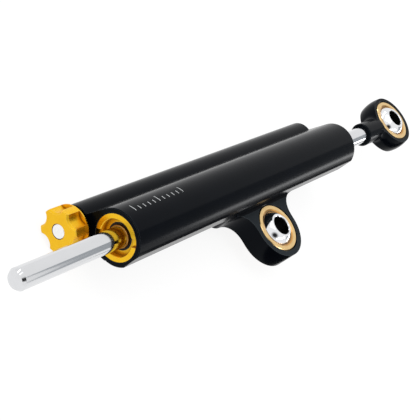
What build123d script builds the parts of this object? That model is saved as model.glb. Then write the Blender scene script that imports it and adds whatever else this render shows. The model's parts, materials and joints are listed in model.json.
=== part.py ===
"""Linear steering damper for a motorcycle: a through-rod oil damper with an adjuster knob.

All lengths are in millimetres, angles in degrees. The origin is the centre of the lug's ball.
+X runs along the rod towards its eye, +Z is the axis of both ball bearings, and the damping
tube lies on the +Y side of the lug. A station is a distance along X.
"""
from build123d import *
from math import acos, atan2, cos, degrees, hypot, radians, sin, sqrt
import os

# Rod and its eye
rod_radius = 5.0
rod_front_reach = 62.5        # from the body's front face to the rod's tip
rod_rear_gap = 34.6           # from the body's rear face to the eye's neck
rod_tip_flat = 2.6            # radius of the flat in the middle of the domed tip
rod_tip_dome = 1.9
stud_radius = 4.0
stud_length = 11.0
shoulder_depth = 3.0
stroke_forward = 33.0         # travel that draws the eye towards the body
stroke_back = 57.0            # travel that pushes the eye away from the body

# Ball bearings, one in the lug and one in the rod's eye
ball_radius = 11.0
ball_half_width = 8.8
bolt_radius = 5.0
bolt_chamfer = 0.5
ball_play = 0.04
liner_wall = 0.35
liner_play = 0.04
race_wall = 1.7               # at the race's middle, where it is thinnest
race_edge = 0.3
race_dish_depth = 0.4         # cone at the race's mouth
race_dish_width = 0.9
bearing_width = 12.4
race_sink = 0.12
liner_sink = 0.6
seat_chamfer = 0.6

# Rod's eye
eye_wall = 1.95               # black rim round the race at the eye's flat faces
eye_crown = 0.9               # how far the round flank stands out past that rim
eye_arm = 33.3                # from the neck's face to the bearing's axis
neck_radius = 6.9
neck_fillet = 5.5
neck_edge = 0.5

# Damping tube, from its bore outwards
bore_radius = 10.0
head_shoulder = 0.6
cap_thread_height = 0.8
end_wall = 2.27
tube_flat_depth = 1.0
body_length = 200.0
body_edge = 0.4

# Reservoir beside the tube
adjuster_bore_radius = 7.0
reservoir_wall = 2.35
reservoir_side = 15.77        # from the rod's axis along +Y
reservoir_drop = 17.22        # from the rod's axis along -Z
web_share = 0.37              # the web's half height at the reservoir, as a share of its radius

# Mounting lug
lug_station = 117.5           # from the body's front face to the lug's bearing
lug_reach = 27.15             # from the rod's axis to the bearing's axis
lug_sink = 11.7               # rod's axis above the bearing's middle plane
lug_wall = 3.4
lug_root_radius = 11.0
lug_foot_radius = 8.0         # rounds the ends of the foot off into the tube

# Oil ways
gallery_radius = 2.2
port_radius = 2.0
port_inset = 3.0              # from the chamber's end to the port's axis

# Screwed end cap at each end of the tube, and the wiper and scraper in it
cap_length = 7.0
cap_face_width = 2.75         # radial width of the cap's bright face
cap_recess_depth = 3.2
cap_step_width = 2.1          # ledge at the bottom of the recess
cap_edge = 0.3
spanner_slot_width = 4.2
spanner_slot_depth = 1.6
spanner_slot_angle = 131.5

# Seal head behind each cap
head_length = 25.0
bush_wall = 1.2
bush_length = 11.0
bush_inset = 1.0
seal_wall = 2.6
seal_length = 4.0
seal_inset = 5.0              # from the head's cap side to the seal
wiper_sink = 0.2              # wiper's face below the cap's ledge
wiper_length = 3.2
wiper_lip = 0.4
scraper_wall = 0.4
scraper_sink = 1.8            # scraper's tip below the body's end face
scraper_grip = 1.4            # length held in the wiper
rubber_clearance = 0.05
ring_section_radius = 0.85    # rubber ring round the head
ring_groove_slack = 0.06
ring_inset = 6.0

# Piston on the rod
piston_length = 14.0
piston_clearance = 0.35
band_length = 6.0
band_wall = 1.6
band_side_gap = 0.06
piston_ring_radius = 0.7
clip_groove_depth = 0.7
clip_width = 1.0
clip_height = 1.4
clip_gap_angle = 40.0
bypass_radius = 0.6
bypass_count = 4

# Adjuster knob
knob_gap = 2.6
knob_length = 8.6
knob_radius = 10.6
knob_rim_length = 0.9         # whole rim behind the scallops
knob_lobes = 6
knob_phase = 3.0              # angle of the first lobe from +Y
scallop_radius = 4.8
scallop_centre_radius = 13.2
scallop_chamfer = 0.8
knob_edge = 0.35
knob_recess_radius = 6.1
knob_recess_depth = 3.6

# Screw in the knob's middle
pin_head_radius = 3.65
pin_head_height = 1.6
pin_stem_radius = 1.5
pin_stem_length = 5.0
pin_edge = 0.4

# Adjuster parts inside the reservoir's front end
cartridge_tail = 7.0          # from the front port's axis to the cartridge's inner end
cartridge_collar_radius = 5.4
cartridge_collar_gap = 0.35   # between the collar's face and the bottom of the knob's recess
cartridge_edge = 0.4
shaft_radius = 3.0
shaft_foot_length = 3.0
shaft_depth = 13.0            # from the body's front face to the foot's inner side
socket_flats = 2.6
socket_depth = 7.0
valve_flats_clearance = 0.05
valve_radius = 4.0            # of the shaft's foot too, as both turn in one bore
valve_waist_radius = 2.6
valve_land_length = 5.0
valve_barrel_lead = 5.0       # barrel in front of the port's axis
valve_bore_radius = 1.6
valve_groove_width = 3.0
valve_groove_depth = 1.8      # at its deepest, as the groove fades out half a turn on
cartridge_window_radius = 1.2
cartridge_moat_depth = 0.8    # oil groove round the cartridge at the port
cartridge_ring_radius = 0.7
cartridge_front_ring_inset = 4.0
cartridge_ring_spacing = 4.5  # from the port's axis to the ring on each side of it
detent_ball_radius = 1.0
detent_circle_radius = 4.0
detent_groove_clearance = 0.1
detent_spring_wire = 0.3
detent_spring_turns = 5
detent_pocket_clearance = 0.08
detent_count = 16
detent_dimple_depth = 0.25

# Compensating piston and plug in the reservoir's rear end
chamber_length = 58.0
compensator_length = 11.0
compensator_place_share = 0.45
compensator_ring_radius = 0.8
compensator_cup_share = 0.5
plug_length = 9.0
plug_sink = 0.4
plug_hex_flats = 6.0
plug_hex_depth = 4.0
plug_edge = 0.5
plug_ring_radius = 0.7
plug_ring_inset = 5.5

# Shared
overrun = 1.0                 # how far a cut runs past what it cuts
seat_play = 0.03              # between two pieces that stay together
running_gap = 0.05            # between two pieces that slide or turn on each other

# Worked out from the sizes above
liner_radius = ball_radius + ball_play + liner_wall
race_inner_radius = liner_radius + liner_play
race_radius = race_inner_radius + race_wall
race_seat_radius = race_radius + seat_play
lug_radius = race_seat_radius + lug_wall
eye_rim_radius = race_seat_radius + seat_chamfer + eye_wall
eye_radius = eye_rim_radius + eye_crown
head_radius = bore_radius + head_shoulder
cap_radius = head_radius + cap_thread_height
tube_radius = cap_radius + end_wall
cap_throat_radius = cap_radius - cap_face_width - cap_step_width
scraper_radius = rod_radius + running_gap + scraper_wall
reservoir_radius = adjuster_bore_radius + reservoir_wall
web_radius = web_share * reservoir_radius
reservoir_distance = hypot(reservoir_side, reservoir_drop)

front_face = -lug_station
rear_face = front_face + body_length
rod_y = lug_reach
rod_z = lug_sink
reservoir_y = rod_y + reservoir_side
reservoir_z = rod_z - reservoir_drop
neck_face = rear_face + rod_rear_gap
eye_x = neck_face + eye_arm
flat_y = rod_y - tube_radius + tube_flat_depth
head_end = cap_length + head_length
front_port = front_face + head_end + port_inset
rear_port = rear_face - chamber_length - port_inset
cartridge_end = front_port + cartridge_tail
piston_middle = front_face + body_length / 2 - (stroke_back - stroke_forward) / 2

LOW = (Align.CENTER, Align.CENTER, Align.MIN)


def along(radius, start, end, y=rod_y, z=rod_z):
    """A round bar along X between two stations."""
    return Pos(start, y, z) * Rot(0, 90, 0) * Cylinder(radius, end - start, align=LOW)


def tube_along(outer, inner, start, end, y=rod_y, z=rod_z):
    """A round tube along X between two stations."""
    return along(outer, start, end, y, z) - along(inner, start - overrun, end + overrun, y, z)


def turned(points, y=rod_y, z=rod_z):
    """A closed outline of (station, radius) points turned about the X axis through (y, z)."""
    face = make_face(Polyline(*points, close=True))
    return Pos(0, y, z) * revolve(face, Axis.X)


def rubber_ring(section, middle_radius, station, y=rod_y, z=rod_z):
    """A rubber ring of round section about the X axis."""
    return Pos(station, y, z) * Rot(0, 90, 0) * Torus(middle_radius, section)


def hexagon(flats, start, end, y, z):
    """A six-sided bar along X between two stations, by its width across flats."""
    outline = RegularPolygon(flats / 2, 6, major_radius=False)
    return Pos(start, y, z) * Rot(0, 90, 0) * extrude(outline, amount=end - start)


def save(solid, node):
    """Writes one sub-part to its own file and prints its volume."""
    export_step(solid, f"parts/{node}.step")
    print(node, round(solid.volume, 1))


# Body
def web():
    """Fills the waist between tube and reservoir, flush with a tangent of the tube."""
    heading = atan2(-reservoir_drop, reservoir_side)
    spread = acos((tube_radius - web_radius) / reservoir_distance)
    sides = []
    for turn in (heading + spread, heading - spread):
        on_tube = (tube_radius * cos(turn), tube_radius * sin(turn))
        on_web = (reservoir_side + web_radius * cos(turn), -reservoir_drop + web_radius * sin(turn))
        sides.append((on_tube, on_web))
    (tube_a, web_a), (tube_b, web_b) = sides
    outline = Polyline((0, 0), tube_a, web_a, (reservoir_side, -reservoir_drop), web_b, tube_b, close=True)
    return Pos(front_face, rod_y, rod_z) * extrude(Plane.YZ * make_face(outline), amount=body_length)


def lug():
    """The lug and its foot: one outline of straight sides, root arcs and rounded foot ends."""
    bend = sin(radians(45))
    arc_y = flat_y - lug_root_radius
    root_x = lug_radius + lug_root_radius
    foot_x = root_x + lug_foot_radius
    foot_y = flat_y + lug_foot_radius
    slack = 1 - bend
    curves = [ThreePointArc((-lug_radius, 0), (0, -lug_radius), (lug_radius, 0))]
    for side in (1, -1):
        flank = side * lug_radius
        root_middle = (side * (lug_radius + slack * lug_root_radius), flat_y - slack * lug_root_radius)
        foot_middle = (side * (root_x + bend * lug_foot_radius), flat_y + slack * lug_foot_radius)
        curves.append(Line((flank, 0), (flank, arc_y)))
        curves.append(ThreePointArc((flank, arc_y), root_middle, (side * root_x, flat_y)))
        curves.append(ThreePointArc((side * root_x, flat_y), foot_middle, (side * foot_x, foot_y)))
        curves.append(Line((side * foot_x, foot_y), (side * foot_x, reservoir_y)))
    curves.append(Line((-foot_x, reservoir_y), (foot_x, reservoir_y)))
    return Pos(0, 0, -bearing_width / 2) * extrude(make_face(curves), amount=bearing_width)


def bearing_seat():
    """The bore that takes a race, with a chamfer at each mouth, about the origin."""
    half = bearing_width / 2
    mouth = race_seat_radius + seat_chamfer
    points = [(0, -half - overrun), (mouth + overrun, -half - overrun), (race_seat_radius, seat_chamfer - half)]
    points += [(race_seat_radius, half - seat_chamfer), (mouth + overrun, half + overrun), (0, half + overrun)]
    return revolve(Plane.XZ * make_face(Polyline(*points, close=True)), Axis.Z)


def end_chamfered(radius, y, z):
    """A round bar of the body's length with its two ends chamfered."""
    points = [(front_face, 0), (front_face, radius - body_edge), (front_face + body_edge, radius)]
    points += [(rear_face - body_edge, radius), (rear_face, radius - body_edge), (rear_face, 0)]
    return turned(points, y, z)


def oil_way(station):
    """A cross drilling from the tube's bore to the gallery in the reservoir."""
    tilt = degrees(atan2(reservoir_side, -reservoir_drop))
    drill = Cylinder(port_radius, reservoir_distance, align=LOW)
    return Pos(station, rod_y, rod_z) * Rot(-tilt, 0, 0) * drill


def damper_body():
    tube = end_chamfered(tube_radius, rod_y, rod_z)
    flat = Pos(front_face - overrun, flat_y, rod_z) * Box(
        body_length + 2 * overrun, tube_radius, 2 * tube_radius, align=(Align.MIN, Align.MAX, Align.CENTER)
    )
    block = (tube - flat) + end_chamfered(reservoir_radius, reservoir_y, reservoir_z) + web()
    block += lug()
    block -= bearing_seat()
    block -= along(bore_radius, front_face - overrun, rear_face + overrun)
    block -= along(head_radius, front_face - overrun, front_face + head_end)
    block -= along(head_radius, rear_face - head_end, rear_face + overrun)
    block -= along(cap_radius, front_face - overrun, front_face + cap_length)
    block -= along(cap_radius, rear_face - cap_length, rear_face + overrun)
    block -= along(adjuster_bore_radius, front_face - overrun, cartridge_end, reservoir_y, reservoir_z)
    chamber_start = rear_face - chamber_length
    block -= along(adjuster_bore_radius, chamber_start, rear_face + overrun, reservoir_y, reservoir_z)
    block -= along(gallery_radius, cartridge_end - overrun, chamber_start + overrun, reservoir_y, reservoir_z)
    block -= oil_way(front_port)
    block -= oil_way(rear_port)
    return block


# End caps, seal heads and what they hold, the same at both ends
def end_cap(face, inward):
    """Screwed cap with two spanner slots, seen as the bright ring round the rod."""
    outer = cap_radius - seat_play
    recess = cap_radius - cap_face_width
    throat = cap_throat_radius
    points = [(0, recess + cap_edge), (0, outer - cap_edge), (cap_edge, outer), (cap_length, outer)]
    points += [(cap_length, throat), (cap_recess_depth, throat), (cap_recess_depth, recess), (cap_edge, recess)]
    cap = turned([(face + inward * depth, radius) for depth, radius in points])
    for turn in (0, 180):
        slot = Box(spanner_slot_depth * 2, cap_radius, spanner_slot_width, align=(Align.CENTER, Align.MIN, Align.CENTER))
        cap -= Pos(face, rod_y, rod_z) * Rot(spanner_slot_angle + turn, 0, 0) * Pos(0, throat, 0) * slot
    return cap


def seal_head(face, inward):
    """Guides and seals the rod behind the cap, with pockets for the seal and the bush."""
    outer = head_radius - seat_play
    bush = rod_radius + running_gap + bush_wall + seat_play
    seal = rod_radius + seal_wall + seat_play
    clear = rod_radius + 2 * rubber_clearance + wiper_lip
    start = cap_length
    seal_start = start + seal_inset
    bush_end = head_end - bush_inset
    groove = head_end - ring_inset
    groove_floor = outer - 2 * ring_section_radius
    half_groove = ring_section_radius + ring_groove_slack
    points = [(start, clear), (start, outer), (groove - half_groove, outer)]
    points += [(groove - half_groove, groove_floor), (groove + half_groove, groove_floor)]
    points += [(groove + half_groove, outer), (head_end, outer), (head_end, clear), (bush_end, clear)]
    points += [(bush_end, bush), (bush_end - bush_length, bush), (bush_end - bush_length, clear)]
    points += [(seal_start + seal_length, clear), (seal_start + seal_length, seal), (seal_start, seal)]
    points += [(seal_start, clear)]
    return turned([(face + inward * depth, radius) for depth, radius in points])


def rod_bush(face, inward):
    bush_end = face + inward * (head_end - bush_inset)
    ends = sorted((bush_end, bush_end - inward * bush_length))
    return tube_along(rod_radius + running_gap + bush_wall, rod_radius + running_gap, *ends)


def rod_seal(face, inward):
    """Rubber lip seal with a hollow on its pressure side."""
    start = cap_length + seal_inset
    end = start + seal_length
    inner = rod_radius + rubber_clearance
    outer = rod_radius + seal_wall
    lip = (outer - inner) / 3
    points = [(start, inner), (start, outer), (end, outer), (end, outer - lip)]
    points += [(end - seal_length / 2, outer - 3 * lip / 2), (end, inner + lip), (end, inner)]
    return turned([(face + inward * depth, radius) for depth, radius in points])


def wiper(face, inward):
    """Rubber wiper in the cap's throat: its lip runs on the rod, and its mouth holds the scraper."""
    inner = rod_radius + rubber_clearance
    outer = cap_throat_radius - seat_play
    mouth = scraper_radius + seat_play
    start = cap_recess_depth + wiper_sink
    foot = start + scraper_grip + seat_play
    end = start + wiper_length
    points = [(start, mouth), (start, outer), (end, outer), (end, inner + wiper_lip), (end - wiper_lip, inner)]
    points += [(foot, inner), (foot, mouth)]
    return turned([(face + inward * depth, radius) for depth, radius in points])


def scraper(face, inward):
    """Thin bronze ring whose tapered tip keeps grit off the wiper."""
    inner = rod_radius + running_gap
    end = cap_recess_depth + wiper_sink + scraper_grip
    half_wall = scraper_wall / 2
    points = [(scraper_sink, inner), (scraper_sink, inner + half_wall), (scraper_sink + half_wall, scraper_radius)]
    points += [(end, scraper_radius), (end, inner)]
    return turned([(face + inward * depth, radius) for depth, radius in points])


def head_ring(face, inward):
    middle = head_radius - seat_play - ring_section_radius
    return rubber_ring(ring_section_radius, middle, face + inward * (head_end - ring_inset))


# Rod, piston and rings
def clip_stations():
    """Middle of the two circlip grooves, one against each end of the piston."""
    offset = piston_length / 2 + seat_play + clip_width / 2
    return (piston_middle - offset, piston_middle + offset)


def damper_rod():
    tip = front_face - rod_front_reach
    shoulder = neck_face + shoulder_depth
    end = shoulder + stud_length
    edge = rod_radius - stud_radius
    points = [(tip, 0), (tip, rod_tip_flat), (tip + rod_tip_dome / 4, rod_radius - rod_tip_dome / 2)]
    points += [(tip + rod_tip_dome, rod_radius), (shoulder, rod_radius), (shoulder, stud_radius)]
    points += [(end - edge, stud_radius), (end, stud_radius - edge), (end, 0)]
    rod = turned(points)
    for station in clip_stations():
        half = clip_width / 2 + seat_play
        floor = rod_radius - clip_groove_depth
        rod -= tube_along(rod_radius + overrun, floor, station - half, station + half)
    return rod


def piston():
    """Piston with a deep groove for the band and its rubber ring, and bypass drillings."""
    outer = bore_radius - piston_clearance
    inner = rod_radius + seat_play
    groove_half = band_length / 2 + band_side_gap
    band_floor = bore_radius - running_gap - band_wall - running_gap
    ring_half = piston_ring_radius + ring_groove_slack
    ring_floor = band_floor - 2 * piston_ring_radius
    half = piston_length / 2
    points = [(-half, inner), (-half, outer), (-groove_half, outer), (-groove_half, band_floor)]
    points += [(-ring_half, band_floor), (-ring_half, ring_floor), (ring_half, ring_floor), (ring_half, band_floor)]
    points += [(groove_half, band_floor), (groove_half, outer), (half, outer), (half, inner)]
    body = turned([(piston_middle + x, radius) for x, radius in points])
    hole_circle = (inner + ring_floor) / 2
    for k in range(bypass_count):
        turn = radians(360 * k / bypass_count)
        y = rod_y + hole_circle * cos(turn)
        z = rod_z + hole_circle * sin(turn)
        body -= along(bypass_radius, piston_middle - half - overrun, piston_middle + half + overrun, y, z)
    return body


def piston_band():
    outer = bore_radius - running_gap
    half = band_length / 2
    return tube_along(outer, outer - band_wall, piston_middle - half, piston_middle + half)


def piston_ring():
    floor = bore_radius - 2 * running_gap - band_wall
    return rubber_ring(piston_ring_radius, floor - piston_ring_radius, piston_middle)


def piston_clips():
    """Two open spring rings that hold the piston on the rod."""
    clips = []
    floor = rod_radius - clip_groove_depth + seat_play
    for station in clip_stations():
        half = clip_width / 2
        clip = tube_along(floor + clip_height, floor, station - half, station + half)
        reach = 2 * (floor + clip_height)
        spread = reach * sin(radians(clip_gap_angle / 2))
        wedge = make_face(Polyline((0, 0), (reach, spread), (reach, -spread), close=True))
        clip -= Pos(station - clip_width, rod_y, rod_z) * extrude(Plane.YZ * wedge, amount=2 * clip_width)
        clips.append(clip)
    return Compound(children=clips)


# Ball bearing, modelled about its own centre
def race():
    """Outer ring, hollow inside to take the liner, with a shallow cone at each mouth."""
    half = bearing_width / 2 - race_sink
    lip = half - race_dish_depth
    mouth = sqrt(race_inner_radius**2 - lip**2)
    rim = mouth + race_dish_width
    reach = race_radius
    points = [(mouth, -lip), (rim, -half), (reach - race_edge, -half), (reach, race_edge - half)]
    points += [(reach, half - race_edge), (reach - race_edge, half), (rim, half), (mouth, lip)]
    hollow = ThreePointArc((mouth, lip), (race_inner_radius, 0), (mouth, -lip))
    return revolve(Plane.XZ * make_face([Polyline(*points), hollow]), Axis.Z)


def liner():
    """Thin woven liner between race and ball, a slice of a hollow sphere."""
    half = bearing_width / 2 - liner_sink
    inner = ball_radius + ball_play
    slab = Box(4 * ball_radius, 4 * ball_radius, 2 * half)
    return (Sphere(liner_radius) - Sphere(inner)) & slab


def ball():
    """Bored ball with flat faces, the part that the mounting bolt goes through."""
    half = ball_half_width
    face_radius = sqrt(ball_radius**2 - half**2)
    inner = [(bolt_radius + bolt_chamfer, half), (bolt_radius, half - bolt_chamfer)]
    inner += [(bolt_radius, bolt_chamfer - half), (bolt_radius + bolt_chamfer, -half)]
    flats = Polyline((face_radius, half), *inner, (face_radius, -half))
    crown = ThreePointArc((face_radius, -half), (ball_radius, 0), (face_radius, half))
    return revolve(Plane.XZ * make_face([flats, crown]), Axis.Z)


def eye_housing():
    """Barrel-shaped eye that flares into a round neck, bored for the rod's stud."""
    half = bearing_width / 2
    rim = Polyline((eye_rim_radius, -half), (0, -half), (0, half), (eye_rim_radius, half))
    flank = ThreePointArc((eye_rim_radius, half), (eye_radius, 0), (eye_rim_radius, -half))
    barrel = revolve(Plane.XZ * make_face([rim, flank]), Axis.Z)
    neck_start = -eye_arm
    neck_points = [(neck_start, 0), (neck_start, neck_radius - neck_edge), (neck_start + neck_edge, neck_radius)]
    neck_points += [(0, neck_radius), (0, 0)]
    eye = barrel + turned(neck_points, 0, 0)
    seam = [e for e in eye.edges() if is_neck_seam(e)]
    eye = fillet(seam, radius=neck_fillet)
    eye -= bearing_seat()
    shoulder = neck_start + shoulder_depth
    eye -= along(rod_radius + seat_play, neck_start - overrun, shoulder, 0, 0)
    eye -= along(stud_radius + seat_play, neck_start, shoulder + stud_length + seat_play, 0, 0)
    return Pos(eye_x, 0, rod_z) * Pos(0, rod_y, 0) * eye


def is_neck_seam(edge):
    """True for the edges where the neck runs into the barrel."""
    middle = edge.center()
    inside = -eye_radius - overrun < middle.X < -sqrt(eye_rim_radius**2 - neck_radius**2) + overrun
    return inside and hypot(middle.Y, middle.Z) < neck_radius + overrun and edge.geom_type != GeomType.LINE


# Adjuster
def scallop(front, end):
    """The round bar that cuts one scallop, with the cone that chamfers the knob's front edge."""
    bar = along(scallop_radius, front - overrun, end, 0, 0)
    wide = scallop_radius + scallop_chamfer
    cone = [(front - overrun, 0), (front - overrun, wide + overrun), (front + scallop_chamfer, scallop_radius)]
    return bar + turned([*cone, (front + scallop_chamfer, 0)], 0, 0)


def knob():
    """Star knob: scallops cut from the front, and a thin whole rim at the back."""
    back = front_face - knob_gap
    front = back - knob_length
    edge = knob_radius - knob_edge
    points = [(front, 0), (front, edge), (front + knob_edge, knob_radius)]
    points += [(back - knob_edge, knob_radius), (back, edge), (back, 0)]
    star = turned(points, reservoir_y, reservoir_z)
    cutter = scallop(front, back - knob_rim_length)
    for k in range(knob_lobes):
        turn = radians(knob_phase + 360 * (k + 1 / 2) / knob_lobes)
        y = reservoir_y + scallop_centre_radius * cos(turn)
        z = reservoir_z + scallop_centre_radius * sin(turn)
        star -= Pos(0, y, z) * cutter
    star -= along(knob_recess_radius, back - knob_recess_depth, back + overrun, reservoir_y, reservoir_z)
    groove = detent_ball_radius + detent_groove_clearance
    star -= rubber_ring(groove, detent_circle_radius, back - knob_recess_depth, reservoir_y, reservoir_z)
    for k in range(detent_count):
        turn = radians(360 * k / detent_count)
        y = reservoir_y + detent_circle_radius * cos(turn)
        z = reservoir_z + detent_circle_radius * sin(turn)
        star -= Pos(back - knob_recess_depth - detent_dimple_depth, y, z) * Sphere(groove)
    star -= along(shaft_radius + running_gap, front - overrun, back, reservoir_y, reservoir_z)
    pin_seat = pin_head_radius + seat_play
    star -= along(pin_seat, front - overrun, front + pin_head_height, reservoir_y, reservoir_z)
    return star


def knob_screw():
    """Round-headed screw, flush with the knob's face, that holds the knob on its shaft."""
    front = front_face - knob_gap - knob_length
    head_back = front + pin_head_height
    points = [(front, 0), (front, pin_head_radius - pin_edge), (front + pin_edge, pin_head_radius)]
    points += [(head_back, pin_head_radius), (head_back, pin_stem_radius)]
    points += [(head_back + pin_stem_length, pin_stem_radius), (head_back + pin_stem_length, 0)]
    return turned(points, reservoir_y, reservoir_z)


def adjuster_shaft():
    """Turns with the knob: tapped for its screw, with a foot and a socket for the valve."""
    front = front_face - knob_gap - knob_length + pin_head_height + seat_play
    foot = front_face + shaft_depth
    shaft = along(shaft_radius, front, foot, reservoir_y, reservoir_z)
    shaft += along(valve_radius, foot - shaft_foot_length, foot, reservoir_y, reservoir_z)
    tap_end = front + pin_stem_length + seat_play
    shaft -= along(pin_stem_radius + seat_play, front - overrun, tap_end, reservoir_y, reservoir_z)
    shaft -= hexagon(socket_flats, foot - socket_depth, foot + overrun, reservoir_y, reservoir_z)
    return shaft


def metering_valve():
    """Spindle turned by the shaft: its groove fades out round the barrel, so turning it meters the oil."""
    start = front_face + shaft_depth + running_gap
    end = cartridge_end - running_gap
    land_end = start + valve_land_length
    barrel_start = front_port - valve_barrel_lead
    flats = socket_flats - 2 * valve_flats_clearance
    points = [(start, 0), (start, valve_radius), (land_end, valve_radius), (land_end, valve_waist_radius)]
    points += [(barrel_start, valve_waist_radius), (barrel_start, valve_radius), (end, valve_radius), (end, 0)]
    spindle = turned(points, reservoir_y, reservoir_z)
    spindle += hexagon(flats, start - socket_depth + running_gap, start, reservoir_y, reservoir_z)
    half_groove = valve_groove_width / 2
    offset = valve_groove_depth / 2
    ends = (front_port - half_groove, front_port + half_groove)
    groove = along(valve_radius + overrun, *ends, reservoir_y, reservoir_z)
    groove -= along(valve_radius - offset, *ends, reservoir_y + offset, reservoir_z)
    spindle -= groove
    spindle -= along(valve_bore_radius, front_port, end + overrun, reservoir_y, reservoir_z)
    drill = Cylinder(cartridge_window_radius, valve_radius, align=LOW)
    return spindle - Pos(front_port, reservoir_y, reservoir_z) * Rot(90, 0, 0) * drill


def cartridge_ring_stations():
    """One ring near the face, and one on each side of the port."""
    front_ring = front_face + cartridge_front_ring_inset
    return (front_ring, front_port - cartridge_ring_spacing, front_port + cartridge_ring_spacing)


def cartridge():
    """Fixed sleeve in the reservoir's mouth that carries the shaft, the valve and the detent."""
    outer = adjuster_bore_radius - seat_play
    collar_front = front_face - knob_gap - knob_recess_depth + cartridge_collar_gap
    shaft_bore = shaft_radius + running_gap
    valve_bore = valve_radius + running_gap
    foot_start = front_face + shaft_depth - shaft_foot_length - running_gap
    points = [(collar_front, shaft_bore), (collar_front, cartridge_collar_radius)]
    points += [(front_face, cartridge_collar_radius), (front_face, outer - cartridge_edge)]
    points += [(front_face + cartridge_edge, outer)]
    half_ring = cartridge_ring_radius + ring_groove_slack
    ring_floor = outer - 2 * cartridge_ring_radius
    grooves = [(station, half_ring, ring_floor) for station in cartridge_ring_stations()]
    grooves.append((front_port, port_radius, outer - cartridge_moat_depth))
    for at, half, floor in sorted(grooves):
        points += [(at - half, outer), (at - half, floor), (at + half, floor), (at + half, outer)]
    points += [(cartridge_end, outer), (cartridge_end, valve_bore), (foot_start, valve_bore), (foot_start, shaft_bore)]
    sleeve = turned(points, reservoir_y, reservoir_z)
    for turn in (0, 90):
        drill = Cylinder(cartridge_window_radius, 2 * adjuster_bore_radius + overrun)
        sleeve -= Pos(front_port, reservoir_y, reservoir_z) * Rot(turn, 0, 0) * drill
    pocket = detent_ball_radius + detent_pocket_clearance
    pocket_y = reservoir_y + detent_circle_radius
    pocket_end = collar_front + detent_pocket_length()
    sleeve -= along(pocket, collar_front - overrun, pocket_end, pocket_y, reservoir_z)
    return sleeve


def detent_pocket_length():
    """Room behind the ball for the spring, inside the collar."""
    return detent_ball_radius + detent_spring_turns * 2 * detent_spring_wire + detent_ball_radius


def detent_ball():
    """Clicks into the dimples under the knob."""
    recess = front_face - knob_gap - knob_recess_depth
    return Pos(recess, reservoir_y + detent_circle_radius, reservoir_z) * Sphere(detent_ball_radius)


def detent_spring():
    """Small coil behind the detent ball."""
    start = front_face - knob_gap - knob_recess_depth + detent_ball_radius + detent_pocket_clearance
    pocket_end = start - detent_pocket_clearance - detent_ball_radius + cartridge_collar_gap + detent_pocket_length()
    coil_radius = detent_ball_radius - detent_spring_wire
    wire = detent_spring_wire / 2
    length = pocket_end - start - 2 * wire
    path = Helix(length / detent_spring_turns, length, coil_radius)
    section = Plane(path @ 0, z_dir=path % 0) * Circle(wire)
    coil = sweep(section, path)
    return Pos(start + wire, reservoir_y + detent_circle_radius, reservoir_z) * Rot(0, 90, 0) * coil


def cartridge_rings():
    middle = adjuster_bore_radius - seat_play - cartridge_ring_radius
    rings = []
    for station in cartridge_ring_stations():
        rings.append(rubber_ring(cartridge_ring_radius, middle, station, reservoir_y, reservoir_z))
    return Compound(children=rings)


# Rear end of the reservoir
def compensator_start():
    room = chamber_length - plug_length - plug_sink - compensator_length
    return rear_face - chamber_length + compensator_place_share * room


def compensator():
    """Floating piston that lets the oil expand, hollow on its gas side."""
    outer = adjuster_bore_radius - running_gap
    start = compensator_start()
    end = start + compensator_length
    middle = start + compensator_length / 2
    half = compensator_ring_radius + ring_groove_slack
    floor = outer - 2 * compensator_ring_radius
    cup = compensator_cup_share * outer
    cup_floor = start + compensator_cup_share * compensator_length
    points = [(start, 0), (start, outer), (middle - half, outer), (middle - half, floor), (middle + half, floor)]
    points += [(middle + half, outer), (end, outer), (end, cup), (cup_floor, cup), (cup_floor, 0)]
    return turned(points, reservoir_y, reservoir_z)


def compensator_ring():
    middle = adjuster_bore_radius - running_gap - compensator_ring_radius
    station = compensator_start() + compensator_length / 2
    return rubber_ring(compensator_ring_radius, middle, station, reservoir_y, reservoir_z)


def reservoir_plug():
    """Threaded plug with a hexagon socket, a little below the rear face."""
    outer = adjuster_bore_radius - seat_play
    face = rear_face - plug_sink
    start = face - plug_length
    half = plug_ring_radius + ring_groove_slack
    floor = outer - 2 * plug_ring_radius
    at = face - plug_ring_inset
    points = [(start, 0), (start, outer), (at - half, outer), (at - half, floor), (at + half, floor)]
    points += [(at + half, outer), (face - plug_edge, outer), (face, outer - plug_edge), (face, 0)]
    plug = turned(points, reservoir_y, reservoir_z)
    return plug - hexagon(plug_hex_flats, face - plug_hex_depth, face + overrun, reservoir_y, reservoir_z)


def plug_ring():
    middle = adjuster_bore_radius - seat_play - plug_ring_radius
    station = rear_face - plug_sink - plug_ring_inset
    return rubber_ring(plug_ring_radius, middle, station, reservoir_y, reservoir_z)


os.makedirs("parts", exist_ok=True)
save(damper_body(), "damper_body")
for end, face, inward in (("front", front_face, 1), ("rear", rear_face, -1)):
    save(end_cap(face, inward), f"{end}_end_cap")
    save(seal_head(face, inward), f"{end}_seal_head")
    save(rod_bush(face, inward), f"{end}_rod_bush")
    save(rod_seal(face, inward), f"{end}_rod_seal")
    save(wiper(face, inward), f"{end}_wiper")
    save(scraper(face, inward), f"{end}_scraper")
    save(head_ring(face, inward), f"{end}_head_o_ring")
save(damper_rod(), "damper_rod")
save(piston(), "piston")
save(piston_band(), "piston_band")
save(piston_ring(), "piston_o_ring")
save(piston_clips(), "piston_circlips")
save(eye_housing(), "rod_eye_housing")
for name, place in (("body_eye", Pos(0, 0, 0)), ("rod_eye", Pos(eye_x, rod_y, rod_z))):
    save(place * race(), f"{name}_race")
    save(place * liner(), f"{name}_liner")
    save(place * ball(), f"{name}_ball")
save(knob(), "adjuster_knob")
save(knob_screw(), "knob_screw")
save(adjuster_shaft(), "adjuster_shaft")
save(metering_valve(), "metering_valve")
save(cartridge(), "adjuster_cartridge")
save(cartridge_rings(), "cartridge_o_rings")
save(detent_ball(), "detent_ball")
save(detent_spring(), "detent_spring")
save(compensator(), "compensating_piston")
save(compensator_ring(), "compensating_o_ring")
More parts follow.
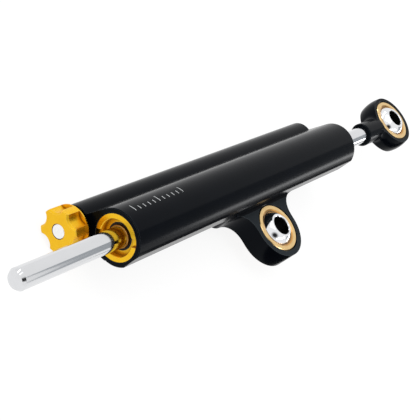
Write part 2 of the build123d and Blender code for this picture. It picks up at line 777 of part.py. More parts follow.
save(reservoir_plug(), "reservoir_plug")
save(plug_ring(), "plug_o_ring")
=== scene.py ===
"""Finishes and studio for a motorcycle steering damper with a through rod.

Lengths are in metres, in the damper's own frame: +X runs along the rod towards its eye, +Z is the
axis of both ball bearings, and the origin is the centre of the lug's ball.
"""
import json
import math

import bpy
from mathutils import Matrix, Vector


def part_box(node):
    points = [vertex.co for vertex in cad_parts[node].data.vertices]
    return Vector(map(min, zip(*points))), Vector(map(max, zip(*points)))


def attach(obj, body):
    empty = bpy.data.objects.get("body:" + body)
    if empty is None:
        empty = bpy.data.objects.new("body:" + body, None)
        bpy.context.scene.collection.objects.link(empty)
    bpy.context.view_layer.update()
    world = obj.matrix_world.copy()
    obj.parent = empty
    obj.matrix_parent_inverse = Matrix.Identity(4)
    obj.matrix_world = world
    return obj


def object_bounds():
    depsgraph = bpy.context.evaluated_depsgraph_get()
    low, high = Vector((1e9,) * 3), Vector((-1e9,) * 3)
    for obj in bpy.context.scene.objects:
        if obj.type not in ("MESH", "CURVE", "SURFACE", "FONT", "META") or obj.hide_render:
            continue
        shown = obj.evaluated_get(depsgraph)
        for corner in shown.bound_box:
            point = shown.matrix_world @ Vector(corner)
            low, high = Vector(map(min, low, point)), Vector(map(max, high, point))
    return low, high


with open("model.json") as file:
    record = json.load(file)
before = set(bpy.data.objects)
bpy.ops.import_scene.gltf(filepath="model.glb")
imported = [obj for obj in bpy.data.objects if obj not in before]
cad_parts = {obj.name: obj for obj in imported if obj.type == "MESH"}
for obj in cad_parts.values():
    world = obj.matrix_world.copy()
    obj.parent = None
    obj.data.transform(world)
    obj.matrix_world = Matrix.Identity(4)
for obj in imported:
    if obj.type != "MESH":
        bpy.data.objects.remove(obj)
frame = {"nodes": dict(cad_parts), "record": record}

bl_info = {
    "name": "Steering Damper Finishes",
    "version": (1, 0, 0),
    "blender": (4, 5, 0),
    "location": "View3D > Sidebar > Damper",
    "description": "Anodised, chromed, turned and rubber finishes for a steering damper, and its studio",
    "category": "Object",
}

MM = 0.001
SENSOR_WIDTH = 36      # millimetres, as a camera counts its lens and sensor
CAMERA_REACH = 20      # metres
CAD_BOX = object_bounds()


def middle(node):
    """Centre of a CAD node's box at rest."""
    low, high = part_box(node)
    return (Vector(low) + Vector(high)) / 2


ROD_AXIS = middle("front_end_cap")
KNOB_AXIS = middle("knob_screw")
LUG_BALL = middle("body_eye_ball")
EYE_BALL = middle("rod_eye_ball")
BODY_LOW, BODY_HIGH = (Vector(corner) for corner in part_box("damper_body"))
TUBE_RADIUS = BODY_HIGH.z - ROD_AXIS.z

# Limits that the finishes need: the lug's faces clear of the tube, a ball's bore with part of its
# chamfer, and the outer rim of the cone at a race's mouth
LUG_FACE_END = ROD_AXIS.y - TUBE_RADIUS - 0.5 * MM
BORE_EDGE = frame["record"]["mounts"][0]["dims"]["r_mm"] * MM * 1.06
RACE_LIP = (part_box("body_eye_race")[1][0] - LUG_BALL.x) * 0.82


# Colour and node helpers
def linear(hex_colour):
    """Turns an sRGB colour such as #E0A030 into linear red, green and blue."""
    channels = []
    for start in (1, 3, 5):
        value = int(hex_colour[start:start + 2], 16) / 255
        channels.append(value / 12.92 if value <= 0.04045 else ((value + 0.055) / 1.055) ** 2.4)
    return tuple(channels)


def shade(colour, factor):
    """A colour made darker or lighter, with full alpha."""
    return (*(min(part * factor, 1) for part in colour), 1)


# Fixed colours: bare and worn places in a finish, a painted edge highlight, painted shade in recesses,
# and a darker bore
MILLED_GREY = shade(linear("#22272B"), 1)
WORN_AND_HIGHLIT_GREY = shade(linear("#5A6064"), 1)
RUBBED_GOLD = shade(linear("#FFE7A6"), 1)
RUBBED_BRASS = shade(linear("#FFF0CE"), 1)
LIP_BRASS = shade(linear("#C98838"), 1)
# Dark brown used as painted shade in recesses
RECESS_SHADE_BROWN = shade(linear("#702C02"), 1)
DARK_BORE_GREY = shade(linear("#2A2A2C"), 1)


def add_node(tree, kind, inputs=None, output=0, **settings):
    """Adds a shader node and gives one of its outputs. Inputs are values, or outputs that feed them."""
    node = tree.nodes.new("ShaderNode" + kind)
    for name, value in settings.items():
        setattr(node, name, value)
    for name, value in (inputs or {}).items():
        if isinstance(value, bpy.types.NodeSocket):
            tree.links.new(value, node.inputs[name])
        else:
            node.inputs[name].default_value = value
    return None if output is None else node.outputs[output]


def start_material(name, centre=(0, 0, 0), stretch=(1, 1, 1)):
    """A material, its node tree, and Object coordinates about a centre, stretched along the axes."""
    material = bpy.data.materials.new(name)
    material.use_nodes = True
    tree = material.node_tree
    tree.nodes.clear()
    return material, tree, place_pattern(tree, centre, stretch)


def place_pattern(tree, centre, stretch):
    """Object coordinates about a centre, stretched along the axes."""
    shift = [-part * scale for part, scale in zip(centre, stretch)]
    inputs = {"Vector": add_node(tree, "TexCoord", output="Object"), "Location": shift, "Scale": stretch}
    return add_node(tree, "Mapping", inputs)


def wave_scale(pitch):
    """Scale at which a wave texture's bands lie a pitch apart: it advances 20 radians in one unit."""
    return 2 * math.pi / (20 * pitch)


def worn_edges(tree, radius):
    """Near 1 on sharp outer edges, and 0 on faces and in corners.

    A rounded normal turns away from the true one at any edge, and corners aren't open to the air.
    """
    rounded = add_node(tree, "Bevel", {"Radius": radius}, samples=6)
    sharp = add_node(tree, "Bevel", {"Radius": radius / 50}, samples=2)
    match = add_node(tree, "VectorMath", {0: rounded, 1: sharp}, "Value", operation="DOT_PRODUCT")
    edge = add_node(tree, "MapRange", {"Value": match, "From Min": 0.985, "From Max": 0.8})
    open_air = add_node(tree, "AmbientOcclusion", {"Distance": 5 * radius}, "AO", samples=6)
    outer = add_node(tree, "MapRange", {"Value": open_air, "From Min": 0.75, "From Max": 0.95})
    return add_node(tree, "Math", {0: edge, 1: outer}, operation="MULTIPLY")


# Metal finishes
def black_anodised(name, colour):
    """Hard-anodised aluminium, blasted before dyeing: near black and satin, a little bluish.

    The dye is cloudy, the blasted grain is 0.08 mm, drawn 0.4 mm coarse so that it shows, and the
    tube's drawing marks run along it. The lug's milled faces keep a duller, greyer black. Sharp outer
    edges are pale grey: partly rubbed wear from spanners and boots, partly a painted edge highlight.
    """
    material, tree, place = start_material(name)
    clouds = add_node(tree, "TexNoise", {"Vector": place, "Scale": 1 / (18 * MM), "Detail": 2.0})
    blast = add_node(tree, "TexNoise", {"Vector": place, "Scale": 1 / (0.4 * MM), "Detail": 3.0})
    along = place_pattern(tree, (0, 0, 0), (0.03, 1, 1))
    drawn = add_node(tree, "TexNoise", {"Vector": along, "Scale": 1 / (0.5 * MM), "Detail": 2.0})
    thin, thick = shade(colour, 1.3), shade(colour, 0.7)
    dyed = add_node(tree, "Mix", {0: clouds, 6: thick, 7: thin}, 2, data_type="RGBA")

    facing = add_node(tree, "SeparateXYZ", {0: add_node(tree, "TexCoord", output="Normal")}, "Z")
    upright = add_node(tree, "Math", {0: facing}, operation="ABSOLUTE")
    flat = add_node(tree, "MapRange", {"Value": upright, "From Min": 0.995, "From Max": 0.999})
    side = add_node(tree, "SeparateXYZ", {0: add_node(tree, "TexCoord", output="Object")}, "Y")
    beside = add_node(tree, "Math", {0: side, 1: LUG_FACE_END}, operation="LESS_THAN")
    milled = add_node(tree, "Math", {0: flat, 1: beside}, operation="MULTIPLY")
    greyed = add_node(tree, "Mix", {0: milled, 6: dyed, 7: MILLED_GREY}, 2, data_type="RGBA")

    # Pale grey on sharp outer edges: partly rubbed wear, partly a painted edge highlight.
    rub = add_node(tree, "Math", {0: worn_edges(tree, 0.3 * MM), 1: 0.7}, operation="MULTIPLY")
    base = add_node(tree, "Mix", {0: rub, 6: greyed, 7: WORN_AND_HIGHLIT_GREY}, 2, data_type="RGBA")
    fine = add_node(tree, "MapRange", {"Value": blast, "To Min": -0.04, "To Max": 0.04})
    gloss = add_node(tree, "MapRange", {"Value": drawn, "To Min": 0.16, "To Max": 0.23})
    duller = add_node(tree, "Math", {0: milled, 1: 0.28, 2: gloss}, operation="MULTIPLY_ADD")
    rough = add_node(tree, "Math", {0: fine, 1: duller})
    low = add_node(tree, "Bump", {"Height": drawn, "Distance": 0.005 * MM, "Strength": 0.15})
    bumps = add_node(tree, "Bump", {
        "Height": blast, "Distance": 0.01 * MM, "Strength": 0.2, "Normal": low,
    })
    shader = add_node(tree, "BsdfPrincipled", {
        "Base Color": base, "Roughness": rough, "Normal": bumps,
        "IOR": 1.15, "Specular Tint": (0.84, 0.92, 1, 1),
    })
    add_node(tree, "OutputMaterial", {"Surface": shader}, None)
    return material


def gold_anodised(name, colour, deep, centre, roughness, shade_reach):
    """Bright-dipped aluminium under a clear gold dye: turned, so it has fine rings round its axis.

    The rings are 0.1 mm apart, drawn 0.35 mm apart so that they show. The dye is a little uneven,
    pale where a sharp edge is rubbed, and has painted dark brown shade in recesses within the given
    reach.
    """
    material, tree, place = start_material(name, centre)
    rings = add_node(tree, "TexWave", {
        "Vector": place, "Scale": wave_scale(0.35 * MM), "Distortion": 0.4, "Detail": 1.0,
    }, "Fac", wave_type="RINGS", rings_direction="X")
    clouds = add_node(tree, "TexNoise", {"Vector": place, "Scale": 1 / (5 * MM), "Detail": 2.0})
    specks = add_node(tree, "TexNoise", {"Vector": place, "Scale": 1 / (0.35 * MM), "Detail": 3.0})
    dye = add_node(tree, "Mix", {0: clouds, 6: shade(deep, 1), 7: shade(colour, 1)}, 2, data_type="RGBA")
    rub = add_node(tree, "Math", {0: worn_edges(tree, 0.25 * MM), 1: 0.6}, operation="MULTIPLY")
    rubbed = add_node(tree, "Mix", {0: rub, 6: dye, 7: RUBBED_GOLD}, 2, data_type="RGBA")
    # Painted shade: recesses that ambient occlusion finds within the given reach are mixed towards dark
    # brown.
    closed = add_node(tree, "AmbientOcclusion", {"Distance": shade_reach}, "AO", samples=12)
    painted_recess_shade = add_node(tree, "MapRange", {
        "Value": closed, "From Min": 0.25, "From Max": 0.75, "To Min": 1, "To Max": 0,
    })
    base = add_node(tree, "Mix", {0: painted_recess_shade, 6: rubbed, 7: RECESS_SHADE_BROWN}, 2, data_type="RGBA")
    fine = add_node(tree, "MapRange", {"Value": specks, "To Min": -0.04, "To Max": 0.04})
    turned = add_node(tree, "MapRange", {
        "Value": rings, "To Min": roughness - 0.03, "To Max": roughness + 0.03,
    })
    low = add_node(tree, "Bump", {"Height": specks, "Distance": 0.008 * MM, "Strength": 0.25})
    bumps = add_node(tree, "Bump", {
        "Height": rings, "Distance": 0.006 * MM, "Strength": 0.35, "Normal": low,
    })
    rough = add_node(tree, "Math", {0: fine, 1: turned})
    shader = add_node(tree, "BsdfPrincipled", {
        "Base Color": base, "Metallic": 1.0, "Roughness": rough, "Normal": bumps,
    })
    add_node(tree, "OutputMaterial", {"Surface": shader}, None)
    return material


def turned_metal(name, colour, centre, direction, roughness, lip=0.0):
    """Brass or bronze as it comes off the lathe: rings 0.15 mm apart, drawn 0.4 mm, slightly tarnished.

    A race is a deeper, redder brass beside its ball, out to the radius of its lip.
    """
    material, tree, place = start_material(name, centre)
    rings = add_node(tree, "TexWave", {
        "Vector": place, "Scale": wave_scale(0.4 * MM), "Distortion": 0.3, "Detail": 1.0,
    }, "Fac", wave_type="RINGS", rings_direction=direction)
    tarnish = add_node(tree, "TexNoise", {"Vector": place, "Scale": 1 / (3 * MM), "Detail": 4.0})
    dull, bright = shade(colour, 0.75), shade(colour, 1.1)
    base = add_node(tree, "Mix", {0: tarnish, 6: dull, 7: bright}, 2, data_type="RGBA")
    if lip:
        across = place_pattern(tree, centre, (1, 1, 0))
        reach = add_node(tree, "VectorMath", {0: across}, "Value", operation="LENGTH")
        beside = add_node(tree, "MapRange", {
            "Value": reach, "From Min": lip - 0.5 * MM, "From Max": lip + 0.4 * MM,
            "To Min": 0.8, "To Max": 0,
        })
        base = add_node(tree, "Mix", {0: beside, 6: base, 7: LIP_BRASS}, 2, data_type="RGBA")
    rub = add_node(tree, "Math", {0: worn_edges(tree, 0.2 * MM), 1: 0.5}, operation="MULTIPLY")
    rubbed = add_node(tree, "Mix", {0: rub, 6: base, 7: RUBBED_BRASS}, 2, data_type="RGBA")
    rough = add_node(tree, "MapRange", {
        "Value": rings, "To Min": roughness - 0.04, "To Max": roughness + 0.04,
    })
    bumps = add_node(tree, "Bump", {"Height": rings, "Distance": 0.01 * MM, "Strength": 0.35})
    shader = add_node(tree, "BsdfPrincipled", {
        "Base Color": rubbed, "Metallic": 1.0, "Roughness": rough, "Normal": bumps,
    })
    add_node(tree, "OutputMaterial", {"Surface": shader}, None)
    return material


def ground_chrome(name, colour, centre):
    """Hard chrome, ground round the rod and polished: near a mirror, with a film of oil wiped along it.

    Grinding marks are too fine to see, and are drawn 0.6 mm apart as a slight change of gloss.
    """
    material, tree, place = start_material(name, centre)
    marks = add_node(tree, "TexWave", {
        "Vector": place, "Scale": wave_scale(0.6 * MM), "Distortion": 0.5, "Detail": 1.0,
    }, "Fac", wave_type="BANDS", bands_direction="X")
    along = place_pattern(tree, centre, (0.3, 1, 1))
    film = add_node(tree, "TexNoise", {"Vector": along, "Scale": 1 / (4 * MM), "Detail": 4.0})
    oiled, clean = shade(colour, 0.94), shade(colour, 1.03)
    base = add_node(tree, "Mix", {0: film, 6: oiled, 7: clean}, 2, data_type="RGBA")
    gloss = add_node(tree, "MapRange", {"Value": film, "To Min": 0.07, "To Max": 0.13})
    rough = add_node(tree, "Math", {0: marks, 1: 0.02, 2: gloss}, operation="MULTIPLY_ADD")
    bumps = add_node(tree, "Bump", {"Height": marks, "Distance": 0.001 * MM, "Strength": 0.2})
    shader = add_node(tree, "BsdfPrincipled", {
        "Base Color": base, "Metallic": 1.0, "Roughness": rough, "Normal": bumps,
    })
    add_node(tree, "OutputMaterial", {"Surface": shader}, None)
    return material


def polished_ball(name, colour, centre, bore_radius):
    """Lapped and chromed ball: a mirror with smears of grease. Its bore is dark grey and rougher.

    Honing marks are finer than 0.1 mm, and are drawn 0.3 mm apart.
    """
    material, tree, place = start_material(name, centre)
    smears = add_node(tree, "TexNoise", {
        "Vector": place, "Scale": 1 / (2.5 * MM), "Detail": 4.0, "Distortion": 0.6,
    })
    across = place_pattern(tree, centre, (1, 1, 0))
    reach = add_node(tree, "VectorMath", {0: across}, "Value", operation="LENGTH")
    bored = add_node(tree, "Math", {0: reach, 1: bore_radius}, operation="LESS_THAN")
    greased, clean = shade(colour, 0.93), shade(colour, 1.05)
    outside = add_node(tree, "Mix", {0: smears, 6: greased, 7: clean}, 2, data_type="RGBA")
    # The bore is coloured dark grey.
    base = add_node(tree, "Mix", {0: bored, 6: outside, 7: DARK_BORE_GREY}, 2, data_type="RGBA")
    gloss = add_node(tree, "MapRange", {"Value": smears, "To Min": 0.03, "To Max": 0.1})
    rough = add_node(tree, "Math", {0: bored, 1: 0.35, 2: gloss}, operation="MULTIPLY_ADD")
    hone = add_node(tree, "TexNoise", {"Vector": place, "Scale": 1 / (0.3 * MM), "Detail": 3.0})
    marks = add_node(tree, "Math", {0: hone, 1: bored}, operation="MULTIPLY")
    bumps = add_node(tree, "Bump", {"Height": marks, "Distance": 0.02 * MM, "Strength": 0.4})
    shader = add_node(tree, "BsdfPrincipled", {
        "Base Color": base, "Metallic": 1.0, "Roughness": rough, "Normal": bumps,
    })
    add_node(tree, "OutputMaterial", {"Surface": shader}, None)
    return material


def machined_steel(name, colour, centre, roughness):
    """Polished steel faced on a lathe: rings 0.1 mm apart, drawn 0.4 mm apart so that they show."""
    material, tree, place = start_material(name, centre)
    rings = add_node(tree, "TexWave", {
        "Vector": place, "Scale": wave_scale(0.4 * MM), "Distortion": 0.3, "Detail": 1.0,
    }, "Fac", wave_type="RINGS", rings_direction="X")
    film = add_node(tree, "TexNoise", {"Vector": place, "Scale": 1 / (2 * MM), "Detail": 3.0})
    oiled, clean = shade(colour, 0.9), shade(colour, 1.05)
    base = add_node(tree, "Mix", {0: film, 6: oiled, 7: clean}, 2, data_type="RGBA")
    rough = add_node(tree, "MapRange", {
        "Value": rings, "To Min": roughness - 0.03, "To Max": roughness + 0.05,
    })
    bumps = add_node(tree, "Bump", {"Height": rings, "Distance": 0.005 * MM, "Strength": 0.3})
    shader = add_node(tree, "BsdfPrincipled", {
        "Base Color": base, "Metallic": 1.0, "Roughness": rough, "Normal": bumps,
    })
    add_node(tree, "OutputMaterial", {"Surface": shader}, None)
    return material


# Soft finishes
def moulded_nitrile(name, colour):
    """Nitrile rubber from a mould: matt black, with a fine pebble and a little grey bloom."""
    material, tree, place = start_material(name)
    pebble = add_node(tree, "TexNoise", {"Vector": place, "Scale": 1 / (0.3 * MM), "Detail": 3.0})
    bloom = add_node(tree, "TexNoise", {"Vector": place, "Scale": 1 / (4 * MM), "Detail": 2.0})
    clean, bloomed = shade(colour, 0.8), shade(colour, 1.8)
    base = add_node(tree, "Mix", {0: bloom, 6: clean, 7: bloomed}, 2, data_type="RGBA")
    rough = add_node(tree, "MapRange", {"Value": pebble, "To Min": 0.55, "To Max": 0.75})
    bumps = add_node(tree, "Bump", {"Height": pebble, "Distance": 0.02 * MM, "Strength": 0.4})
    shader = add_node(tree, "BsdfPrincipled", {
        "Base Color": base, "Roughness": rough, "Normal": bumps, "IOR": 1.45,
    })
    add_node(tree, "OutputMaterial", {"Surface": shader}, None)
    return material


def woven_liner(name, colour, centre):
    """Low-friction cloth bonded in the race: brown threads 0.25 mm apart with resin between them."""
    material, tree, place = start_material(name, centre)
    threads = {"Vector": place, "Scale": wave_scale(0.25 * MM)}
    warp = add_node(tree, "TexWave", threads, "Fac", wave_type="BANDS", bands_direction="Z")
    weft = add_node(tree, "TexWave", threads, "Fac", wave_type="BANDS", bands_direction="X")
    weave = add_node(tree, "Math", {0: warp, 1: weft}, operation="MULTIPLY")
    resin, thread = shade(colour, 0.4), shade(colour, 1)
    base = add_node(tree, "Mix", {0: weave, 6: resin, 7: thread}, 2, data_type="RGBA")
    rough = add_node(tree, "MapRange", {"Value": weave, "To Min": 0.5, "To Max": 0.7})
    bumps = add_node(tree, "Bump", {"Height": weave, "Distance": 0.03 * MM, "Strength": 0.5})
    shader = add_node(tree, "BsdfPrincipled", {"Base Color": base, "Roughness": rough, "Normal": bumps})
    add_node(tree, "OutputMaterial", {"Surface": shader}, None)
    return material


def filled_plastic(name, colour):
    """Low-friction plastic filled with bronze powder: brown and matt, with pale specks."""
    material, tree, place = start_material(name)
    specks = add_node(tree, "TexNoise", {"Vector": place, "Scale": 1 / (0.3 * MM), "Detail": 4.0})
    plastic, powder = shade(colour, 0.8), shade(colour, 2.2)
    base = add_node(tree, "Mix", {0: specks, 6: plastic, 7: powder}, 2, data_type="RGBA")
    rough = add_node(tree, "MapRange", {"Value": specks, "To Min": 0.4, "To Max": 0.6})
    bumps = add_node(tree, "Bump", {"Height": specks, "Distance": 0.01 * MM, "Strength": 0.3})
    shader = add_node(tree, "BsdfPrincipled", {"Base Color": base, "Roughness": rough, "Normal": bumps})
    add_node(tree, "OutputMaterial", {"Surface": shader}, None)
    return material


def laser_mark(name, colour):
    """Laser marking: the black is burnt off to pale, matt, slightly uneven aluminium."""
    material, tree, place = start_material(name)
    scorch = add_node(tree, "TexNoise", {"Vector": place, "Scale": 1 / (0.5 * MM), "Detail": 3.0})
    scorched, bare = shade(colour, 0.7), shade(colour, 1.1)
    base = add_node(tree, "Mix", {0: scorch, 6: scorched, 7: bare}, 2, data_type="RGBA")
    rough = add_node(tree, "MapRange", {"Value": scorch, "To Min": 0.45, "To Max": 0.65})
    bumps = add_node(tree, "Bump", {"Height": scorch, "Distance": 0.01 * MM, "Strength": 0.3})
    shader = add_node(tree, "BsdfPrincipled", {"Base Color": base, "Roughness": rough, "Normal": bumps})
    add_node(tree, "OutputMaterial", {"Surface": shader}, None)
    return material


def dress(material, *names):
    """Puts a material on CAD nodes."""
    for name in names:
        for slot in frame["nodes"][name].material_slots:
            slot.material = material


# Settings shown in the sidebar
def colour_setting(name, description, hex_colour):
    return bpy.props.FloatVectorProperty(
        name=name, description=description, default=linear(hex_colour), subtype="COLOR", min=0, max=1
    )


def length_setting(name, description, length):
    return bpy.props.FloatProperty(name=name, description=description, default=length, unit="LENGTH")


class DamperColours(bpy.types.PropertyGroup):
    """Colours of the finishes."""
    black: colour_setting("Black anodising", "Body and eye housing", "#05070C")
    gold: colour_setting("Gold anodising", "End caps and knob", "#F2C42C")
    deep_gold: colour_setting("Deeper gold", "Where the gold dye is thicker", "#E9B122")
    bronze: colour_setting("Brown anodising", "Seal heads behind the caps", "#C98A3C")
    chrome: colour_setting("Chrome", "Rod", "#DBDCDE")
    ball: colour_setting("Polished steel", "Balls of the bearings", "#E9EAEC")
    race: colour_setting("Brass", "Ring round each ball", "#E8C68C")
    bush: colour_setting("Bronze", "Bushes and scrapers", "#C48A3C")
    steel: colour_setting("Steel", "Screw in the knob, and shafts", "#F2F2F2")
    spring: colour_setting("Spring steel", "Circlips and detent spring", "#6C6E72")
    rubber: colour_setting("Rubber", "Seals, wipers and rings", "#0D0D0F")
    liner: colour_setting("Liner", "Cloth in the races", "#8A6A3C")
    band: colour_setting("Slide band", "Band round the piston", "#5A3A20")
    mark: colour_setting("Laser mark", "Ticks on the tube", "#C8CBCC")


class DamperTicks(bpy.types.PropertyGroup):
    """Row of plain ticks marked on the tube."""
    count: bpy.props.IntProperty(name="Ticks", description="How many ticks", default=11, min=2)
    inset: length_setting("Inset", "From the tube's front face to the first tick", 7 * MM)
    pitch: length_setting("Pitch", "From tick to tick", 3.5 * MM)
    length: length_setting("Length", "Of a short tick", 2.2 * MM)
    long_length: length_setting("Long tick", "Length of every fifth tick", 4.2 * MM)
    width: length_setting("Width", "Of a tick", 0.4 * MM)
    height: length_setting("Height", "Stands off the tube", 0.02 * MM)
    angle: bpy.props.FloatProperty(
        name="Angle", description="Round the tube, from +Y towards +Z",
        default=math.radians(66), subtype="ANGLE"
    )


class DamperStudio(bpy.types.PropertyGroup):
    """Floor, lamps and camera."""
    floor_gap: length_setting("Floor gap", "Under the lowest point", 0.1 * MM)
    floor_side: length_setting("Floor side", "Of the square floor", 6.0)
    camera_place: bpy.props.FloatVectorProperty(
        name="Camera", description="Where the camera stands",
        default=(-0.4614, -0.0314, 0.3303), subtype="TRANSLATION"
    )
    camera_back: bpy.props.FloatVectorProperty(
        name="View", description="Direction from the damper to the camera",
        default=(-0.7869, -0.1018, 0.6086), subtype="DIRECTION"
    )
    camera_up: bpy.props.FloatVectorProperty(
        name="Up", description="Direction that is up in the picture",
        default=(0.2464, 0.8525, 0.4611), subtype="DIRECTION"
    )
    camera_lens: bpy.props.FloatProperty(
        name="Lens", description="Focal length in millimetres, for a sensor 36 mm wide", default=92.46
    )


# Operators
class DAMPER_OT_dress_body(bpy.types.Operator):
    """Black anodising on the body, the eye housing, the cartridge and the reservoir's plug"""
    bl_idname = "damper.dress_body"
    bl_label = "Black Anodised Parts"

    def execute(self, context):
        material = black_anodised("black_anodised_aluminium", context.scene.damper_colours.black)
        dress(material, "damper_body", "rod_eye_housing", "reservoir_plug", "adjuster_cartridge")
        return {"FINISHED"}


class DAMPER_OT_dress_gold(bpy.types.Operator):
    """Gold anodising on the knob, end caps and pistons, and brown on the seal heads"""
    bl_idname = "damper.dress_gold"
    bl_label = "Gold Anodised Parts"

    def execute(self, context):
        colours = context.scene.damper_colours
        gold, deep = colours.gold, colours.deep_gold
        caps = gold_anodised("gold_anodised_aluminium_caps", gold, deep, ROD_AXIS, 0.24, 4 * MM)
        dress(caps, "front_end_cap", "rear_end_cap", "piston")
        knob = gold_anodised("gold_anodised_aluminium_knob", gold, deep, KNOB_AXIS, 0.36, 2.5 * MM)
        dress(knob, "adjuster_knob", "compensating_piston")
        brown = colours.bronze
        heads = gold_anodised("brown_anodised_aluminium", brown, brown, ROD_AXIS, 0.26, 4 * MM)
        dress(heads, "front_seal_head", "rear_seal_head")
        return {"FINISHED"}


class DAMPER_OT_dress_bronze(bpy.types.Operator):
    """Bronze on the rod's bushes and scrapers"""
    bl_idname = "damper.dress_bronze"
    bl_label = "Bushes and Scrapers"

    def execute(self, context):
        bronze = turned_metal("turned_bronze", context.scene.damper_colours.bush, ROD_AXIS, "X", 0.3)
        dress(bronze, "front_rod_bush", "rear_rod_bush", "front_scraper", "rear_scraper")
        return {"FINISHED"}


class DAMPER_OT_dress_rod(bpy.types.Operator):
    """Hard chrome on the through rod"""
    bl_idname = "damper.dress_rod"
    bl_label = "Rod"

    def execute(self, context):
        chrome = ground_chrome("ground_hard_chrome", context.scene.damper_colours.chrome, ROD_AXIS)
        dress(chrome, "damper_rod")
        return {"FINISHED"}


class DAMPER_OT_dress_bearings(bpy.types.Operator):
    """Polished balls, turned races and woven liners of both bearings"""
    bl_idname = "damper.dress_bearings"
    bl_label = "Ball Bearings"

    def execute(self, context):
        colours = context.scene.damper_colours
        for end, centre in (("body_eye", LUG_BALL), ("rod_eye", EYE_BALL)):
            steel = polished_ball(f"{end}_chromed_steel", colours.ball, centre, BORE_EDGE)
            brass = turned_metal(f"{end}_turned_brass", colours.race, centre, "Z", 0.2, RACE_LIP)
            cloth = woven_liner(f"{end}_woven_liner", colours.liner, centre)
            dress(steel, f"{end}_ball")
            dress(brass, f"{end}_race")
            dress(cloth, f"{end}_liner")
        return {"FINISHED"}


class DAMPER_OT_dress_steel(bpy.types.Operator):
    """Polished steel on the knob's screw and the shafts, blued steel on clips and spring"""
    bl_idname = "damper.dress_steel"
    bl_label = "Small Steel Parts"

    def execute(self, context):
        colours = context.scene.damper_colours
        steel = machined_steel("polished_stainless_steel", colours.steel, KNOB_AXIS, 0.16)
        dress(steel, "knob_screw", "adjuster_shaft", "metering_valve", "detent_ball")
        spring = machined_steel("blued_spring_steel", colours.spring, ROD_AXIS, 0.3)
        dress(spring, "piston_circlips", "detent_spring")
        return {"FINISHED"}


class DAMPER_OT_dress_rubber(bpy.types.Operator):
    """Nitrile on seals, wipers and rings, and filled plastic on the slide band"""
    bl_idname = "damper.dress_rubber"
    bl_label = "Seals and Band"

    def execute(self, context):
        colours = context.scene.damper_colours
        rubber = moulded_nitrile("moulded_nitrile", colours.rubber)
        for end in ("front", "rear"):
            dress(rubber, f"{end}_rod_seal", f"{end}_wiper", f"{end}_head_o_ring")
        dress(rubber, "piston_o_ring", "cartridge_o_rings", "compensating_o_ring", "plug_o_ring")
        dress(filled_plastic("bronze_filled_plastic", colours.band), "piston_band")
        return {"FINISHED"}


class DAMPER_OT_mark_ticks(bpy.types.Operator):
    """Marks a row of plain ticks along the tube, behind its front face"""
    bl_idname = "damper.mark_ticks"
    bl_label = "Ticks"

    def execute(self, context):
        sizes = context.scene.damper_ticks
        colours = context.scene.damper_colours
        outward = Vector((0, math.cos(sizes.angle), math.sin(sizes.angle)))
        around = Vector((0, math.sin(sizes.angle), -math.cos(sizes.angle)))
        turn = Matrix((Vector((1, 0, 0)), around, outward)).transposed()
        row = []
        for k in range(sizes.count):
            length = sizes.long_length if k % 5 == 0 else sizes.length
            station = BODY_LOW.x + sizes.inset + k * sizes.pitch
            on_axis = Vector((station, ROD_AXIS.y, ROD_AXIS.z))
            centre = on_axis + outward * TUBE_RADIUS + around * length / 2
            bpy.ops.object.select_all(action="DESELECT")
            bpy.ops.mesh.primitive_grid_add(x_subdivisions=2, y_subdivisions=8, size=1)
            tick = context.active_object
            stretch = Matrix.Diagonal((sizes.width, length, 1, 1))
            tick.matrix_world = Matrix.Translation(centre) @ turn.to_4x4() @ stretch
            wrap = tick.modifiers.new("Wrap", "SHRINKWRAP")
            wrap.target = frame["nodes"]["damper_body"]
            wrap.offset = sizes.height
            wall = tick.modifiers.new("Wall", "SOLIDIFY")
            wall.thickness = 2 * sizes.height
            wall.offset = -1
            row.append(tick)
        for tick in row:
            bpy.ops.object.select_all(action="DESELECT")
            tick.select_set(True)
            context.view_layer.objects.active = tick
            bpy.ops.object.transform_apply(location=True, rotation=True, scale=True)
            bpy.ops.object.modifier_apply(modifier="Wrap")
            bpy.ops.object.modifier_apply(modifier="Wall")
        for tick in row:
            tick.select_set(True)
        bpy.ops.object.join()
        ticks = context.active_object
        ticks.name = "tube_ticks"
        bpy.ops.object.transform_apply(location=True, rotation=True, scale=True)
        ticks.data.materials.append(laser_mark("laser_marked_aluminium", colours.mark))
        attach(ticks, "body")
        return {"FINISHED"}


class DAMPER_OT_set_studio(bpy.types.Operator):
    """Sets the floor, the surrounding light, the lamps and the camera"""
    bl_idname = "damper.set_studio"
    bl_label = "Studio"

    def execute(self, context):
        studio = context.scene.damper_studio
        lay_floor(studio)
        light_surround(context.scene)
        stand_cards()
        hang_lamps()
        set_camera(context.scene, studio)
        context.scene.view_settings.view_transform = "Standard"
        return {"FINISHED"}


# Studio
def shows_background(tree):
    """1 for rays from the camera and for mirror and glass rays, 0 for rays that light a surface."""
    camera = add_node(tree, "LightPath", output="Is Camera Ray")
    mirror = add_node(tree, "LightPath", output="Is Glossy Ray")
    glass = add_node(tree, "LightPath", output="Is Transmission Ray")
    either = add_node(tree, "Math", {0: camera, 1: mirror}, operation="MAXIMUM")
    return add_node(tree, "Math", {0: either, 1: glass}, operation="MAXIMUM")


def lay_floor(studio):
    """Plain white paper that keeps a soft shadow."""
    low = Vector(CAD_BOX[0])
    bpy.ops.object.select_all(action="DESELECT")
    bpy.ops.mesh.primitive_plane_add(size=studio.floor_side, location=(0, 0, low.z - studio.floor_gap))
    floor = bpy.context.active_object
    floor.name = "floor"
    material, tree, _ = start_material("white_paper")
    paper = add_node(tree, "BsdfDiffuse", {"Color": (0.16, 0.16, 0.16, 1)})
    seen = shows_background(tree)
    strength = add_node(tree, "MapRange", {"Value": seen, "To Min": 0.5, "To Max": 0.87})
    glow = add_node(tree, "Emission", {"Color": (1, 1, 1, 1), "Strength": strength})
    both = add_node(tree, "AddShader", {0: paper, 1: glow})
    add_node(tree, "OutputMaterial", {"Surface": both}, None)
    floor.data.materials.append(material)


